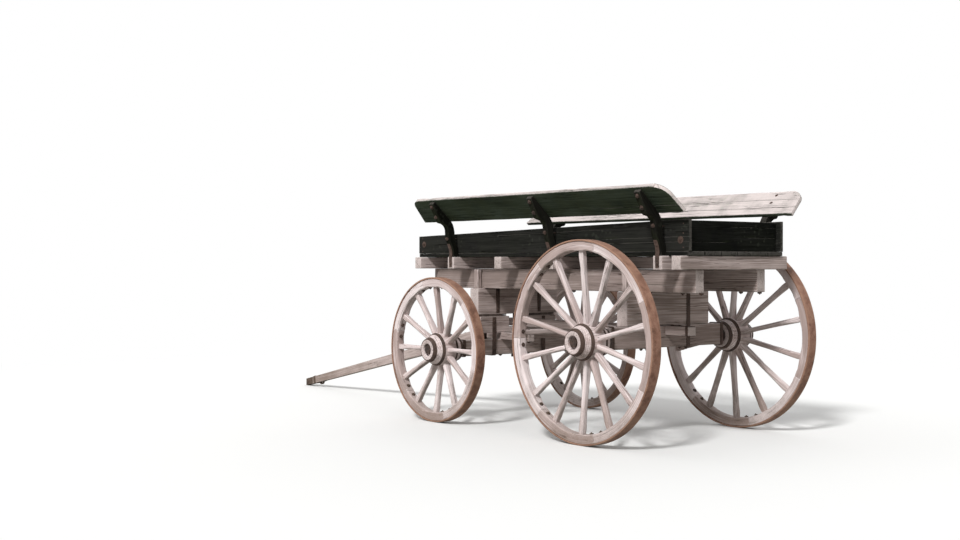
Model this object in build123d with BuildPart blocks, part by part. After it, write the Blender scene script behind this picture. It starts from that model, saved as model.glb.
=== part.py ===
# Hay wagon: a narrow plank bed on high wooden wheels, with flared side boards held by S-curved strouters.
# Millimetres. X runs forward along the tongue, Y to the wagon's left, Z up, and the ground is Z = 0.
from build123d import *
import os
from math import atan2, cos, degrees, hypot, radians, sin

os.makedirs("parts", exist_ok=True)

# Stations along the wagon
overall_length = 5400
rear_end_x = -overall_length / 2
tongue_tip_x = overall_length / 2
rear_overhang = 680
wheelbase = 1600
rear_axle_x = rear_end_x + rear_overhang
front_axle_x = rear_axle_x + wheelbase
flare_length = 2740
flare_front_x = rear_end_x + flare_length
bed_nose = 190
bed_front_x = flare_front_x + bed_nose

# Wheels
rear_wheel_radius = 670
front_wheel_radius = 540
tyre_width = 80
tyre_thickness = 12
felloe_width = 68
felloe_depth = 60
shrink_gap = 0.5
felloe_joint = 2
rim_y = 760
nave_y = 712
arm_radius = 26.5
arm_clearance = 0.5
nave_bore_radius = arm_radius + arm_clearance
nave_radius = 120
nave_inner = -140
nave_outer = 135
nut_recess_radius = 46
nut_recess_depth = 32

spoke_foot_width = 32
spoke_foot_depth = 60
spoke_tip_width = 42
spoke_tip_depth = 38
spoke_chamfer = 9

# Timber sizes of the running gear
axle_half_length = 556
axle_bed_width = 100
bolster_half_length = 400
reach_width = 70
reach_height = 60
reach_bottom = 697
reach_tail = 260
reach_nose = 60
hound_height = 50
hound_width = 55
kingpin_radius = 14

# Bed
sill_bottom = 992
sill_height = 150
sill_width = 80
sill_y = 300
beam_height = 90
beam_width = 80
beam_half_length = 520
floor_thickness = 28
plank_width = 150
plank_gap = 4
plank_count = 6
bed_half_width = 460
side_board_thickness = 28
side_board_rear_top = 1463
side_board_front_top = 1397
floor_bottom = sill_bottom + sill_height + beam_height
floor_top = floor_bottom + floor_thickness

# Flared side boards
flare_low_y = 530
flare_low_z = 1500
flare_high_y = 705
flare_high_z = 1660
flare_thickness = 28
flare_front_rake = 66
flare_rear_rake = 25
flare_rear_round = 105
flare_front_round = 90
flare_rise = hypot(flare_high_y - flare_low_y, flare_high_z - flare_low_z)
flare_out = (flare_high_y - flare_low_y) / flare_rise
flare_up = (flare_high_z - flare_low_z) / flare_rise
strouter_width = 52

strouter_stations = [rear_axle_x - 440, rear_axle_x + 600, rear_axle_x + 1740]
beam_stations = [rear_axle_x - 600, *strouter_stations, rear_axle_x + 1170, bed_front_x - 80]

# Tongue
tongue_pivot_x = front_axle_x + 330
tongue_pivot_z = 625
tongue_heel = 70
tongue_rear_half_height = 45
tongue_tip_half_height = 32
tongue_rear_half_width = 44
tongue_tip_half_width = 27
tongue_cap_length = 120
doubletree_x = 170
doubletree_hole_radius = 11


def finish(block, label):
    block.part.label = label
    export_step(block.part, f"parts/{label}.step")


def side_pair(left_block, label):
    # The right piece is the left one mirrored in the wagon's middle plane
    finish(left_block, label.replace("SIDE", "left"))
    with BuildPart() as right_piece:
        mirror(left_block.part, about=Plane.XZ)
    finish(right_piece, label.replace("SIDE", "right"))


# Wheels: a bent iron tyre on sawn felloes, tapered spokes and a turned nave
# name, axle station, wheel radius, spokes, spokes to each felloe
wheel_rows = [
    ("rear", rear_axle_x, rear_wheel_radius, 14, 2),
    ("front", front_axle_x, front_wheel_radius, 12, 2),
]
for name, axle_x, radius, spoke_count, spokes_per_felloe in wheel_rows:
    wheel_axis = Axis((axle_x, 0, radius), (0, 1, 0))
    tyre_inner = radius - tyre_thickness
    felloe_outer = tyre_inner - shrink_gap
    felloe_inner = felloe_outer - felloe_depth
    spoke_step = 360 / spoke_count
    felloe_count = spoke_count // spokes_per_felloe
    rim_face = Plane(origin=(axle_x, rim_y - tyre_width / 2, radius), x_dir=(1, 0, 0), z_dir=(0, 1, 0))
    with BuildPart() as tyre:
        with BuildSketch(rim_face):
            Circle(radius)
            Circle(tyre_inner, mode=Mode.SUBTRACT)
        extrude(amount=tyre_width)
    side_pair(tyre, f"{name}_SIDE_tyre")

    felloe_face = rim_face.offset((tyre_width - felloe_width) / 2)
    with BuildPart() as felloes:
        with BuildSketch(felloe_face):
            Circle(felloe_outer)
            Circle(felloe_inner, mode=Mode.SUBTRACT)
            with PolarLocations(felloe_outer - felloe_depth / 2, felloe_count, start_angle=90 + spoke_step / 2):
                Rectangle(felloe_depth * 2, felloe_joint, mode=Mode.SUBTRACT)
        extrude(amount=felloe_width)
    side_pair(felloes, f"{name}_SIDE_felloes")

    # Each spoke stands on the nave and leans outward to the rim: deep at its foot, rounder at its tip
    spoke_foot = nave_radius + shrink_gap
    spoke_tip = felloe_inner - 1
    with BuildPart() as top_spoke:
        with BuildSketch(Plane(origin=(axle_x, 0, radius), x_dir=(1, 0, 0), z_dir=(0, -1, 0))):
            Polygon(
                (-spoke_foot_width / 2, spoke_foot),
                (spoke_foot_width / 2, spoke_foot),
                (spoke_tip_width / 2, spoke_tip),
                (-spoke_tip_width / 2, spoke_tip),
                align=None,
            )
        extrude(amount=-axle_half_length * 2)
        with BuildSketch(Plane(origin=(axle_x, 0, radius), x_dir=(0, 1, 0), z_dir=(1, 0, 0))):
            Polygon(
                (nave_y - spoke_foot_depth / 2, spoke_foot),
                (nave_y + spoke_foot_depth / 2, spoke_foot),
                (rim_y + spoke_tip_depth / 2, spoke_tip),
                (rim_y - spoke_tip_depth / 2, spoke_tip),
                align=None,
            )
        extrude(amount=spoke_tip_width, both=True, mode=Mode.INTERSECT)
        chamfer(top_spoke.edges().filter_by(lambda edge: edge.length > spoke_tip / 2), spoke_chamfer)

    # Nave outline: place along the axle from the nave's middle, radius
    nave_rows = [
        (nave_inner, 86),
        (-52, nave_radius),
        (52, nave_radius),
        (nave_outer, 76),
        (nave_outer, nut_recess_radius),
        (nave_outer - nut_recess_depth, nut_recess_radius),
        (nave_outer - nut_recess_depth, nave_bore_radius),
        (nave_inner, nave_bore_radius),
    ]
    with BuildPart() as nave_and_spokes:
        with BuildSketch(Plane(origin=(axle_x, 0, radius), x_dir=(0, 1, 0), z_dir=(1, 0, 0))):
            with BuildLine():
                Polyline([(nave_y + along, out) for along, out in nave_rows], close=True)
            make_face()
        revolve(axis=wheel_axis)
        for index in range(spoke_count):
            add(top_spoke.part.rotate(wheel_axis, index * spoke_step))
    side_pair(nave_and_spokes, f"{name}_SIDE_nave_and_spokes")

    # Iron arms with a collar against the axle bed and a nut inside the nave's mouth
    nut_start = nave_y + nave_outer - nut_recess_depth + 4
    with BuildPart() as axle_irons:
        arm_face = Plane(origin=(axle_x, axle_half_length, radius), x_dir=(1, 0, 0), z_dir=(0, 1, 0))
        with BuildSketch(arm_face):
            Circle(58)
        extrude(amount=11)
        with BuildSketch(arm_face):
            Circle(arm_radius)
        extrude(amount=nut_start - axle_half_length)
        with BuildSketch(arm_face.offset(nut_start - axle_half_length)):
            RegularPolygon(35, 6)
        extrude(amount=24)
        mirror(about=Plane.XZ)
    finish(axle_irons, f"{name}_axle_irons")

# Rear gear
rear_axle_bottom = rear_wheel_radius - 60
rear_axle_top = 760
with BuildPart() as rear_axle_bed:
    with Locations((rear_axle_x, 0, rear_axle_bottom)):
        Box(axle_bed_width, 2 * axle_half_length, rear_axle_top - rear_axle_bottom,
            align=(Align.CENTER, Align.CENTER, Align.MIN))
    with Locations((rear_axle_x, 0, reach_bottom)):
        Box(axle_bed_width, reach_width + 1, rear_axle_top, mode=Mode.SUBTRACT,
            align=(Align.CENTER, Align.CENTER, Align.MIN))
finish(rear_axle_bed, "rear_axle_bed")

with BuildPart() as rear_bolster:
    with Locations((rear_axle_x, 0, rear_axle_top)):
        Box(axle_bed_width, 2 * bolster_half_length, sill_bottom - rear_axle_top,
            align=(Align.CENTER, Align.CENTER, Align.MIN))
finish(rear_bolster, "rear_bolster")

# The hounds run forward from the axle bed's front face to the reach
rear_hound_run = 620
with BuildPart() as rear_hounds:
    with BuildSketch(Plane.XY.offset(reach_bottom)):
        Polygon(
            (rear_axle_x + axle_bed_width / 2, 262),
            (rear_axle_x + axle_bed_width / 2, 322),
            (rear_axle_x + rear_hound_run, 72),
            (rear_axle_x + rear_hound_run + 70, reach_width / 2 + 0.5),
            (rear_axle_x + rear_hound_run - 60, reach_width / 2 + 0.5),
            align=None,
        )
    extrude(amount=hound_height)
    mirror(about=Plane.XZ)
finish(rear_hounds, "rear_hounds")

with BuildPart() as reach:
    with Locations(((rear_axle_x - reach_tail + front_axle_x + reach_nose) / 2, 0, reach_bottom)):
        Box(wheelbase + reach_tail + reach_nose, reach_width, reach_height,
            align=(Align.CENTER, Align.CENTER, Align.MIN))
    with BuildSketch(Plane.XY.offset(reach_bottom)):
        with Locations((front_axle_x, 0)):
            Circle(kingpin_radius + 0.5)
        with Locations((rear_axle_x - reach_tail + 60, 0)):
            Circle(11)
    extrude(amount=reach_height, mode=Mode.SUBTRACT)
finish(reach, "reach")

# Front gear
front_axle_bottom = front_wheel_radius - 60
front_axle_top = 600
sand_bolster_bottom = front_axle_top + hound_height
sand_bolster_top = 775
wear_plate_thickness = 7
lower_plate_top = sand_bolster_top + wear_plate_thickness
upper_plate_bottom = lower_plate_top + 2
front_bolster_bottom = upper_plate_bottom + wear_plate_thickness + 1
with BuildPart() as front_axle_bed:
    with Locations((front_axle_x, 0, front_axle_bottom)):
        Box(axle_bed_width, 2 * axle_half_length, front_axle_top - front_axle_bottom,
            align=(Align.CENTER, Align.CENTER, Align.MIN))
        Cylinder(kingpin_radius + 0.5, 300, mode=Mode.SUBTRACT)
finish(front_axle_bed, "front_axle_bed")

with BuildPart() as sand_bolster:
    with Locations((front_axle_x, 0, sand_bolster_bottom)):
        Box(110, 760, sand_bolster_top - sand_bolster_bottom, align=(Align.CENTER, Align.CENTER, Align.MIN))
        Cylinder(kingpin_radius + 0.5, 300, mode=Mode.SUBTRACT)
    with Locations((front_axle_x, 0, reach_bottom - 7)):
        Box(110, 200, sand_bolster_top, mode=Mode.SUBTRACT, align=(Align.CENTER, Align.CENTER, Align.MIN))
finish(sand_bolster, "sand_bolster")

# Rubbing plates lie in two strips, either side of the kingpin
plate_rows = [
    # name, underside
    ("lower_wear_plate", sand_bolster_top),
    ("upper_wear_plate", front_bolster_bottom - wear_plate_thickness),
]
for name, underside in plate_rows:
    with BuildPart() as wear_plate:
        with Locations((front_axle_x, 120, underside)):
            Box(90, 252, wear_plate_thickness, align=(Align.CENTER, Align.MIN, Align.MIN))
        mirror(about=Plane.XZ)
    finish(wear_plate, name)

with BuildPart() as front_bolster:
    with Locations((front_axle_x, 0, front_bolster_bottom)):
        Box(axle_bed_width, 2 * bolster_half_length, sill_bottom - front_bolster_bottom,
            align=(Align.CENTER, Align.CENTER, Align.MIN))
        Cylinder(kingpin_radius, 1000, mode=Mode.SUBTRACT)
finish(front_bolster, "front_bolster")

kingpin_foot = front_axle_bottom - 26
with BuildPart() as kingpin:
    with BuildSketch(Plane.XY.offset(kingpin_foot)):
        with Locations((front_axle_x, 0)):
            RegularPolygon(26, 6)
    extrude(amount=22)
    with BuildSketch(Plane.XY.offset(kingpin_foot)):
        with Locations((front_axle_x, 0)):
            Circle(kingpin_radius)
    extrude(amount=sill_bottom - kingpin_foot)
finish(kingpin, "kingpin")

# The front hounds grip the tongue ahead of the axle and spread to the sway bar behind it
hound_nose_x = front_axle_x + 420
hound_tail_x = front_axle_x - 450
hound_nose_y = 52
hound_spread = 0.152
hound_tail_y = hound_nose_y + hound_spread * (hound_nose_x - hound_tail_x)
tongue_pin_radius = 12
with BuildPart() as front_hounds:
    with BuildSketch(Plane.XY.offset(front_axle_top)):
        Polygon(
            (hound_nose_x, hound_nose_y),
            (hound_nose_x, hound_nose_y + hound_width),
            (hound_tail_x, hound_tail_y + hound_width),
            (hound_tail_x, hound_tail_y),
            align=None,
        )
    extrude(amount=hound_height)
    mirror(about=Plane.XZ)
    with BuildSketch(Plane(origin=(tongue_pivot_x, 0, tongue_pivot_z), x_dir=(1, 0, 0), z_dir=(0, 1, 0))):
        Circle(tongue_pin_radius)
    extrude(amount=300, both=True, mode=Mode.SUBTRACT)
finish(front_hounds, "front_hounds")

with BuildPart() as sway_bar:
    with Locations((hound_tail_x + 35, 0, front_axle_top + hound_height)):
        Box(60, 700, 38, align=(Align.CENTER, Align.CENTER, Align.MIN))
finish(sway_bar, "sway_bar")

with BuildPart() as tongue_pin:
    pin_plane = Plane(origin=(tongue_pivot_x, 0, tongue_pivot_z), x_dir=(1, 0, 0), z_dir=(0, 1, 0))
    with BuildSketch(pin_plane):
        Circle(tongue_pin_radius)
    extrude(amount=150, both=True)
    with BuildSketch(pin_plane.offset(132)):
        RegularPolygon(22, 6)
    extrude(amount=18)
    with BuildSketch(pin_plane.offset(-150)):
        RegularPolygon(22, 6)
    extrude(amount=18)
finish(tongue_pin, "tongue_pin")

# Tongue: a tapered pole hanging from its pin with its tip on the ground
tongue_slope = (tongue_tip_half_height - tongue_pivot_z) / (tongue_tip_x - tongue_pivot_x)
tongue_angle = degrees(atan2(tongue_pivot_z - tongue_tip_half_height, tongue_tip_x - tongue_pivot_x))
heel_x = tongue_pivot_x - tongue_heel
heel_z = tongue_pivot_z - tongue_slope * tongue_heel
cap_x = tongue_tip_x - tongue_cap_length
doubletree_z = tongue_pivot_z + tongue_slope * (doubletree_x - tongue_pivot_x)
# name, whether it is the iron tip
for name, is_cap in [("tongue", False), ("tongue_cap", True)]:
    with BuildPart() as pole:
        with BuildSketch(Plane.XZ):
            Polygon(
                (heel_x, heel_z - tongue_rear_half_height),
                (tongue_tip_x, 0),
                (tongue_tip_x, 2 * tongue_tip_half_height),
                (heel_x, heel_z + tongue_rear_half_height),
                align=None,
            )
        extrude(amount=100, both=True)
        with BuildSketch():
            Polygon(
                (heel_x, -tongue_rear_half_width),
                (tongue_tip_x, -tongue_tip_half_width),
                (tongue_tip_x, tongue_tip_half_width),
                (heel_x, tongue_rear_half_width),
                align=None,
            )
        extrude(amount=1000, mode=Mode.INTERSECT)
        split(bisect_by=Plane.YZ.offset(cap_x), keep=Keep.TOP if is_cap else Keep.BOTTOM)
        if not is_cap:
            with BuildSketch(pin_plane):
                Circle(tongue_pin_radius + 0.5)
            extrude(amount=200, both=True, mode=Mode.SUBTRACT)
            hole_axis = (sin(radians(tongue_angle)), 0, cos(radians(tongue_angle)))
            with BuildSketch(Plane(origin=(doubletree_x, 0, doubletree_z), x_dir=(0, 1, 0), z_dir=hole_axis)):
                Circle(doubletree_hole_radius)
            extrude(amount=100, both=True, mode=Mode.SUBTRACT)
    finish(pole, name)

# Stakes on both bolsters keep the sills in line
stake_inner_y = sill_y + sill_width / 2 + 3
with BuildPart() as bolster_stakes:
    for axle_x in (rear_axle_x, front_axle_x):
        with Locations((axle_x, stake_inner_y, sill_bottom)):
            Box(46, 42, sill_height - 6, align=(Align.CENTER, Align.MIN, Align.MIN))
    mirror(about=Plane.XZ)
finish(bolster_stakes, "bolster_stakes")

# Bed frame
sill_rear_x = rear_end_x + 80
sill_front_x = bed_front_x - 60
with BuildPart() as sills:
    with Locations(((sill_rear_x + sill_front_x) / 2, sill_y, sill_bottom)):
        Box(sill_front_x - sill_rear_x, sill_width, sill_height, align=(Align.CENTER, Align.CENTER, Align.MIN))
    mirror(about=Plane.XZ)
finish(sills, "sills")

with BuildPart() as cross_beams:
    for station in beam_stations:
        with Locations((station, 0, sill_bottom + sill_height)):
            Box(beam_width, 2 * beam_half_length, beam_height, align=(Align.CENTER, Align.CENTER, Align.MIN))
finish(cross_beams, "cross_beams")

board_rear_x = rear_end_x + 25
board_front_x = bed_front_x - 10
board_mid_x = (board_rear_x + board_front_x) / 2
board_length = board_front_x - board_rear_x
with BuildPart() as floor_boards:
    with Locations((board_mid_x, 0, floor_bottom)):
        with GridLocations(0, plank_width + plank_gap, 1, plank_count):
            Box(board_length, plank_width, floor_thickness, align=(Align.CENTER, Align.CENTER, Align.MIN))
finish(floor_boards, "floor_boards")

# The side boards are lower in front
with BuildPart() as side_board:
    with BuildSketch(Plane.XZ.offset(-bed_half_width)):
        Polygon(
            (board_rear_x, floor_top),
            (board_front_x, floor_top),
            (board_front_x, side_board_front_top),
            (board_rear_x, side_board_rear_top),
            align=None,
        )
    extrude(amount=side_board_thickness)
side_pair(side_board, "side_board_SIDE")

with BuildPart() as end_boards:
    for station, top in ((rear_end_x + 75, side_board_rear_top), (bed_front_x - 60, side_board_front_top)):
        with Locations((station, 0, floor_top)):
            Box(26, 2 * (bed_half_width - side_board_thickness), top - floor_top - 6,
                align=(Align.CENTER, Align.CENTER, Align.MIN))
finish(end_boards, "end_boards")

# Flare board: both ends lean in a little and are rounded above
flare_face = Plane(origin=(0, flare_low_y, flare_low_z), x_dir=(1, 0, 0), z_dir=(0, -flare_up, flare_out))
with BuildPart() as flare_board:
    with BuildSketch(flare_face) as flare_outline:
        Polygon(
            (rear_end_x, 0),
            (flare_front_x, 0),
            (flare_front_x - flare_front_rake, flare_rise),
            (rear_end_x + flare_rear_rake, flare_rise),
            align=None,
        )
        fillet(flare_outline.vertices().sort_by(Axis.Y)[-2:].sort_by(Axis.X)[1], flare_front_round)
        fillet(flare_outline.vertices().sort_by(Axis.Y)[-2:].sort_by(Axis.X)[0], flare_rear_round)
    extrude(amount=flare_thickness)
side_pair(flare_board, "flare_board_SIDE")


def under_flare(along, below):
    # A place under the flare board, measured up its slope and square down from its underside
    return (flare_low_y + along * flare_out + below * flare_up,
            flare_low_z + along * flare_up - below * flare_out)


# Strouter: rises from the cross beam's end, leans out, stands upright, then swings out under the flare board,
# where it is deepest, and thins towards its tip
strouter_foot_z = floor_bottom
strouter_inner_y = bed_half_width + 4
strouter_outer_y = strouter_inner_y + 50
strouter_foot_height = 5
with BuildPart() as strouters:
    for station in strouter_stations:
        with BuildSketch(Plane.YZ.offset(station)):
            with BuildLine():
                foot_top_z = strouter_foot_z + strouter_foot_height
                inner_foot = Line((strouter_inner_y, strouter_foot_z), (strouter_inner_y, foot_top_z))
                inner_bend = TangentArc(inner_foot @ 1, (483, 1330), tangent=inner_foot % 1)
                inner_rise = TangentArc(inner_bend @ 1, (498.5, 1410), tangent=inner_bend % 1)
                inner_turn = TangentArc(inner_rise @ 1, under_flare(14, 0), tangent=inner_rise % 1)
                seat = Line(inner_turn @ 1, under_flare(220, 0))
                tip = Line(seat @ 1, under_flare(220, 26))
                outer_foot = Line((strouter_outer_y, strouter_foot_z), (strouter_outer_y, foot_top_z))
                outer_bend = TangentArc(outer_foot @ 1, (538, 1330), tangent=outer_foot % 1)
                outer_rise = TangentArc(outer_bend @ 1, (561.5, 1425), tangent=outer_bend % 1)
                outer_swing = TangentArc(outer_rise @ 1, (624, 1489), tangent=outer_rise % 1)
                outer_knee = TangentArc(outer_swing @ 1, (644, 1501.5), tangent=outer_swing % 1)
                back = Line(outer_knee @ 1, tip @ 1)
                sole = Line(outer_foot @ 0, inner_foot @ 0)
            make_face()
        extrude(amount=strouter_width / 2, both=True)
side_pair(strouters, "strouters_SIDE")
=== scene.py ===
# Hay wagon: worn timbers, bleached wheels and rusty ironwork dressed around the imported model
# Metres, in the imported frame: +X along the tongue, +Y to the wagon's left, +Z up
import math

import bpy
import numpy as np
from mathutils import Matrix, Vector


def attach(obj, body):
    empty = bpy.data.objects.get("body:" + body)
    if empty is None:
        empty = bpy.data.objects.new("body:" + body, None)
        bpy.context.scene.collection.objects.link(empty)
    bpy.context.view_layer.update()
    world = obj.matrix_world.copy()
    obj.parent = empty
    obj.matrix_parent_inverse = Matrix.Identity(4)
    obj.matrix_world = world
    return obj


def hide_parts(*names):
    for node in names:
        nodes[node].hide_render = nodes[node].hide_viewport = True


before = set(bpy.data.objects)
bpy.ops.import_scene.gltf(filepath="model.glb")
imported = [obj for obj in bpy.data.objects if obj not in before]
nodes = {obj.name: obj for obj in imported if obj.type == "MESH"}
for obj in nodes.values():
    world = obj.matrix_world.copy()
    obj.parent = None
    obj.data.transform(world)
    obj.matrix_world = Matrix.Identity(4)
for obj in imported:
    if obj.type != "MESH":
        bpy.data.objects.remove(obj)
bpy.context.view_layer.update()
print("frame loaded:", len(nodes), "nodes")

# Helpers for the shader trees


class Value:
    # A number, vector or colour inside a shader tree; arithmetic on a number adds Math nodes
    def __init__(self, socket):
        self.socket, self.tree = socket, socket.id_data

    def math(self, operation, other=0.0):
        return addNode(self.tree, "ShaderNodeMath", {0: self, 1: other}, operation=operation)

    def __add__(self, other):
        return self.math("ADD", other)

    def __sub__(self, other):
        return self.math("SUBTRACT", other)

    def __mul__(self, other):
        return self.math("MULTIPLY", other)

    def __pow__(self, other):
        return self.math("POWER", other)


def feed(node, inputs):
    # Links what comes from another node and sets what is a plain number or colour
    for key, value in inputs.items():
        socket = node.inputs[key]
        if isinstance(value, Value):
            value.tree.links.new(value.socket, socket)
        else:
            socket.default_value = (*value, 1.0) if socket.type == "RGBA" else value


def addNode(tree, kind, inputs=None, out=0, **settings):
    # Gives the node's output of that name or number, or a list of them for several names
    node = tree.nodes.new(kind)
    for key, value in settings.items():
        setattr(node, key, value)
    feed(node, inputs or {})
    return [Value(node.outputs[key]) for key in out] if isinstance(out, tuple) else Value(node.outputs[out])


def smooth(value, low, high, toLow=0.0, toHigh=1.0):
    inputs = {"Value": value, "From Min": low, "From Max": high, "To Min": toLow, "To Max": toHigh}
    return addNode(value.tree, "ShaderNodeMapRange", inputs, "Result", interpolation_type="SMOOTHSTEP")


def blend(amount, first, second, mode="MIX"):
    tree = next(v.tree for v in (amount, first, second) if isinstance(v, Value))
    inputs = {0: amount, 6: first, 7: second}
    return addNode(tree, "ShaderNodeMix", inputs, 2, data_type="RGBA", blend_type=mode)


def vectorMath(operation, first, second=(0, 0, 0)):
    out = "Value" if operation in ("LENGTH", "DOT_PRODUCT") else 0
    return addNode(first.tree, "ShaderNodeVectorMath", {0: first, 1: second}, out, operation=operation)


def splitXyz(vector):
    return addNode(vector.tree, "ShaderNodeSeparateXYZ", {0: vector}, (0, 1, 2))


def noise(vector, scale, detail=3.0, roughness=0.55, distortion=0.0):
    # A scale of three numbers stretches the pattern
    if isinstance(scale, tuple):
        vector, scale = vectorMath("MULTIPLY", vector, scale), 1.0
    inputs = {"Vector": vector, "Scale": scale, "Detail": detail, "Roughness": roughness,
              "Distortion": distortion}
    return addNode(vector.tree, "ShaderNodeTexNoise", inputs, "Fac")


def cells(point, scale, feature):
    inputs = {"Vector": point, "Scale": scale, "Randomness": 1.0}
    return addNode(point.tree, "ShaderNodeTexVoronoi", inputs, "Distance", feature=feature)


def roundedNormal(tree, radius):
    return addNode(tree, "ShaderNodeBevel", {"Radius": radius}, samples=4)


def makeGroup(build, **inputs):
    # A node group: inputs name a kind of socket or a number to start from, build gives the named outputs
    group = bpy.data.node_groups.new(build.__name__, "ShaderNodeTree")
    for label, value in inputs.items():
        kind = value if isinstance(value, str) else "Float"
        socket = group.interface.new_socket(name=label, in_out="INPUT", socket_type="NodeSocket" + kind)
        if kind == "Float":
            socket.default_value = value
    made = build(*addNode(group, "NodeGroupInput", out=tuple(inputs)))
    for label, value in made.items():
        kind = "Color" if value.socket.type == "RGBA" else "Float"
        group.interface.new_socket(name=label, in_out="OUTPUT", socket_type="NodeSocket" + kind)
    feed(group.nodes.new("NodeGroupOutput"), made)
    return group


def useGroup(tree, group, *inputs):
    # Takes the inputs and gives the outputs in the group's own order
    node = tree.nodes.new("ShaderNodeGroup")
    node.node_tree = group
    feed(node, dict(enumerate(inputs)))
    return [Value(socket) for socket in node.outputs]


# Surface effects that several materials share


def weatheredGrain(grain, end, tone, dark, mid, pale, bleach):
    # Year rings round a pith line beside the timber, long fibres along it, thin dark checks and broad
    # blotches of tone; on sawn ends the rings show as arcs and the checks run out from the pith
    x, y, z = splitXyz(grain)
    fromPith = vectorMath("LENGTH", vectorMath("MULTIPLY", grain, (0, 1, 1)))
    bend = noise(grain, (0.9, 7, 7), 2.0, 0.45) - 0.5
    ring = (((bend * 0.05 + fromPith) * 1050.0).math("SINE") * 0.5 + 0.5) ** 1.6
    fibre = noise(grain, (2.4, 110, 110), 6.0, 0.62, 0.2)
    fibre = fibre - (fibre - 0.5) * end * 0.75
    fleck = noise(grain, (9, 420, 420), 2.0, 0.5)
    split = (noise(grain, (1.5, 46, 46), 3.0, 0.5) - 0.5).math("ABSOLUTE")
    check = smooth(split, 0.0, 0.02, 1.0, 0.0) * smooth(noise(grain, (2.0, 11, 11), 1.0), 0.42, 0.62)
    inputs = {0: z.math("ARCTAN2", y) * 3.2, 1: fromPith * 14.0, 2: x}
    star = noise(addNode(grain.tree, "ShaderNodeCombineXYZ", inputs), 1.0, 2.0, 0.4)
    star = smooth((star - 0.5).math("ABSOLUTE"), 0.0, 0.028, 1.0, 0.0) * 0.6
    check = check + (star - check) * end
    mixAt = ring * (end * 0.2 + 0.15) + fibre * 0.62 + noise(grain, (1.6, 7, 7), 3.0, 0.6) * 0.55
    mixAt = mixAt - end * 0.12 + (tone - 0.5) * 0.35
    colour = blend(smooth(mixAt, 0.42, 0.86), dark, mid)
    colour = blend(smooth(fleck * 0.35 + mixAt, 0.72, 1.12) * bleach, colour, pale)
    deep = blend(1.0, colour, (0.3, 0.27, 0.25), "MULTIPLY")
    return {"Color": blend(check, colour, deep), "Roughness": smooth(fibre, 0.2, 0.8, 0.95, 0.72),
            "Height": fibre * 0.7 + fleck * 0.25 + ring * 0.12 - check * 1.2, "Check": check}


def weatherAndPaintedLight(point, normal, wear):
    # Sun bleaching on what faces up, which on the flare boards also stands for painted sunlight; soil splashed
    # low down; grey-green lichen in spots; and on what faces down a dark green tint that is damp and painted
    # shade together
    up, height = splitXyz(normal)[2], splitXyz(point)[2]
    cloud, grit = noise(point, 7.0, 4.0, 0.6), noise(point, 90.0, 3.0, 0.7)
    where = smooth(noise(point, 2.6, 2.0), 0.5, 0.66) * smooth(up, -0.3, 0.5)
    return {
        # Sun: sun bleaching on what faces up, used on the flare boards as painted sunlight too
        "Sun": smooth(up, 0.15, 0.85) * smooth(cloud, 0.25, 0.6, 0.65, 1.0),
        "Edge": smooth((grit - 0.5) * 1.1 + wear, 0.45, 0.95),
        "Soil": smooth((cloud - 0.5) * -0.9 + height, 0.02, 0.5, 1.0, 0.0) * smooth(grit, 0.3, 0.7, 0.5, 1.0),
        "Lichen": smooth(grit * 0.35 + cells(point, 26.0, "SMOOTH_F1"), 0.34, 0.46, 1.0, 0.0) * where,
        # Painted shade and damp together: what faces down is darkened towards a dark green
        "Damp": smooth(up, 0.2, -0.7) * smooth(cloud, 0.3, 0.65),
    }


def rustCrust(point, wear, flakes, scale, body, dust):
    # Rust in three tones: a dark scale, a brown body and pale dusty patches, with fine pits and flakes
    broad, grain = noise(point, 9.0, 4.0, 0.65, 0.4), noise(point, 130.0, 5.0, 0.7)
    cloud = noise(point, 31.0, 5.0, 0.62)
    speckle = cloud + (cells(point, 75.0, "F1") - cloud) * flakes
    colour = blend(smooth(grain * 0.5 + broad, 0.5, 0.85), scale, body)
    colour = blend(smooth(wear * 0.3 + speckle * 0.5 + broad, 0.62, 1.0) * 0.8, colour, dust)
    pit = smooth(noise(point, 330.0, 3.0, 0.6), 0.33, 0.49, 1.0, 0.0)
    pit = pit * smooth(noise(point, 17.0, 2.0), 0.3, 0.6, 0.25, 1.0)
    return {"Color": blend(pit * 0.7, colour, scale), "Roughness": smooth(grain, 0.3, 0.7, 0.62, 0.93),
            "Height": grain * 0.7 + broad - speckle * 0.6 - pit * 0.55}


grainGroup = makeGroup(weatheredGrain, Grain="Vector", End=0.0, Tone=0.5, Dark="Color", Mid="Color",
                       Pale="Color", Bleach=0.5)
weatherAndLightGroup = makeGroup(weatherAndPaintedLight, Point="Vector", Normal="Vector", Wear=0.0)
rustGroup = makeGroup(rustCrust, Point="Vector", Wear=0.0, Flakes=0.8, Scale="Color", Body="Color",
                      Dust="Color")
print("surface effects ready")

# Materials: each timber has a dark, a mid and a pale wood, and how far sun, edge wear and lichen cover it

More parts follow.
